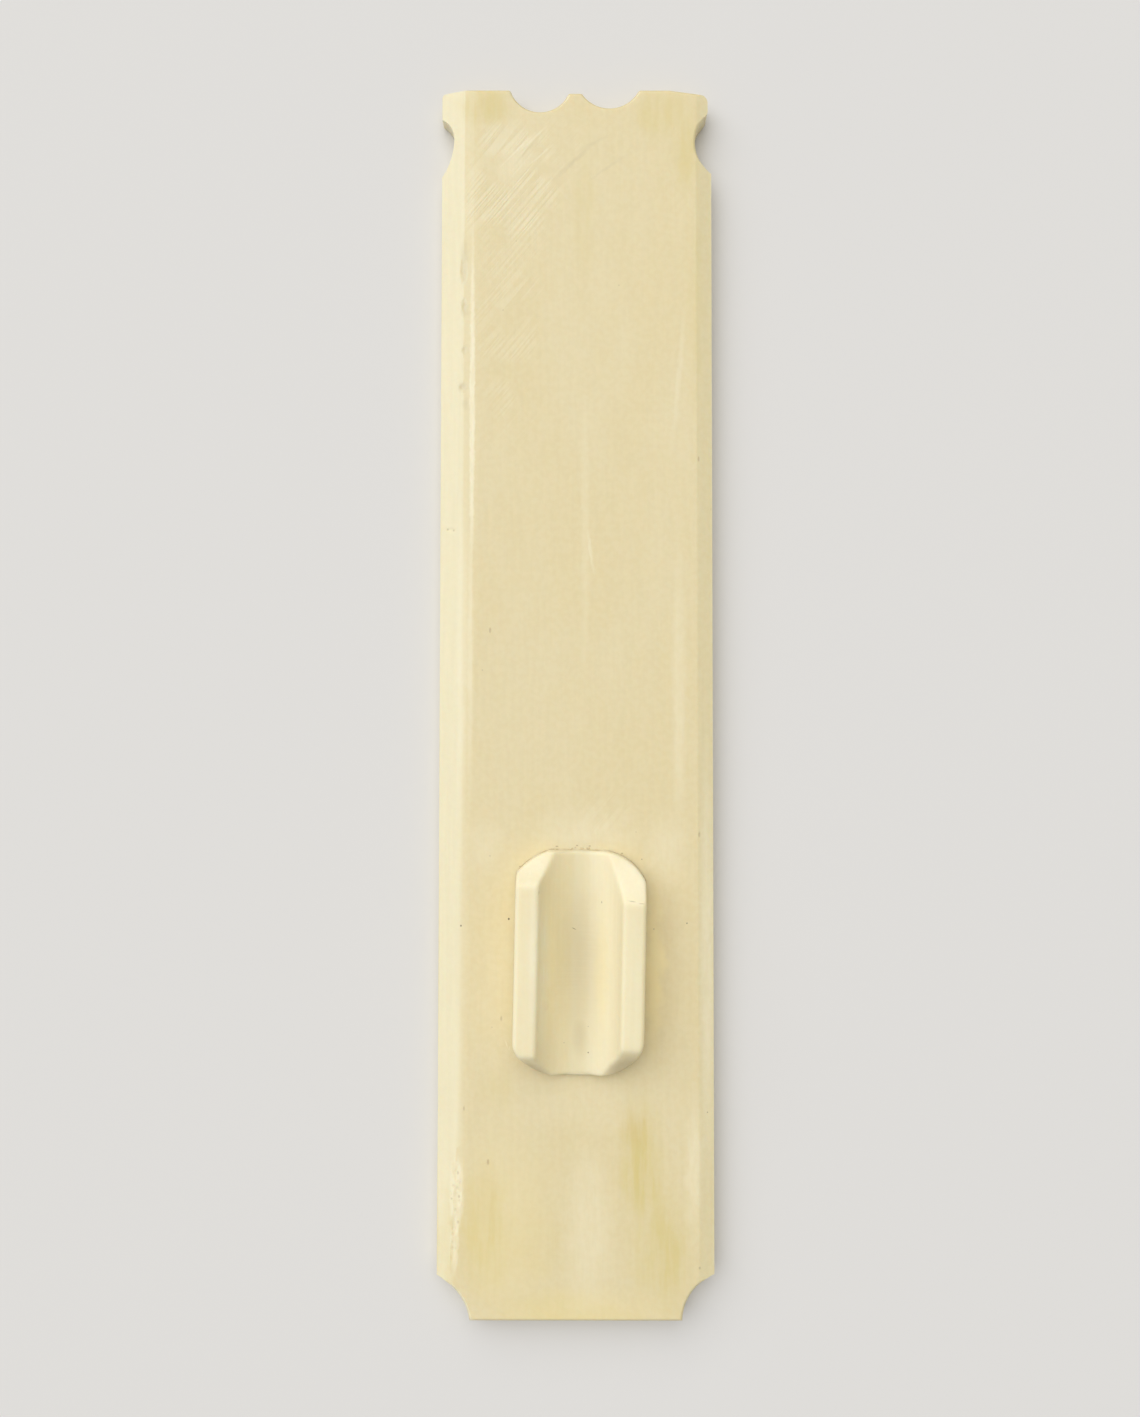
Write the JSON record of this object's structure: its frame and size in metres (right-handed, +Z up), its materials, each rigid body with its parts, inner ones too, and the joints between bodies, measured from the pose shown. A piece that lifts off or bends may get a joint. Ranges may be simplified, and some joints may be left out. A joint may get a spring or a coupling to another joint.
{
  "type": "makta pen cutting rest",
  "caption": "Flat bone tablet with an eared, scalloped head and hollowed foot corners, carrying a glued-on grooved block that steadies a reed pen while its nib is cut.",
  "frame": {"origin": "middle of the tablet's underside, on the surface it lies on", "axes": "+Z up out of the tablet's face, +Y along the tablet towards its eared head, +X to the right with the head away from the viewer"},
  "size_m": [0.0334, 0.15, 0.0085],
  "materials": {
    "bone_tablet": "satin",
    "hide_glue": "gloss",
    "bone_block": "satin"
  },
  "bodies": {
    "root": {"base_plate": "bone_tablet", "glue_film": "hide_glue", "pen_rest": "bone_block"}
  },
  "joints": []
}
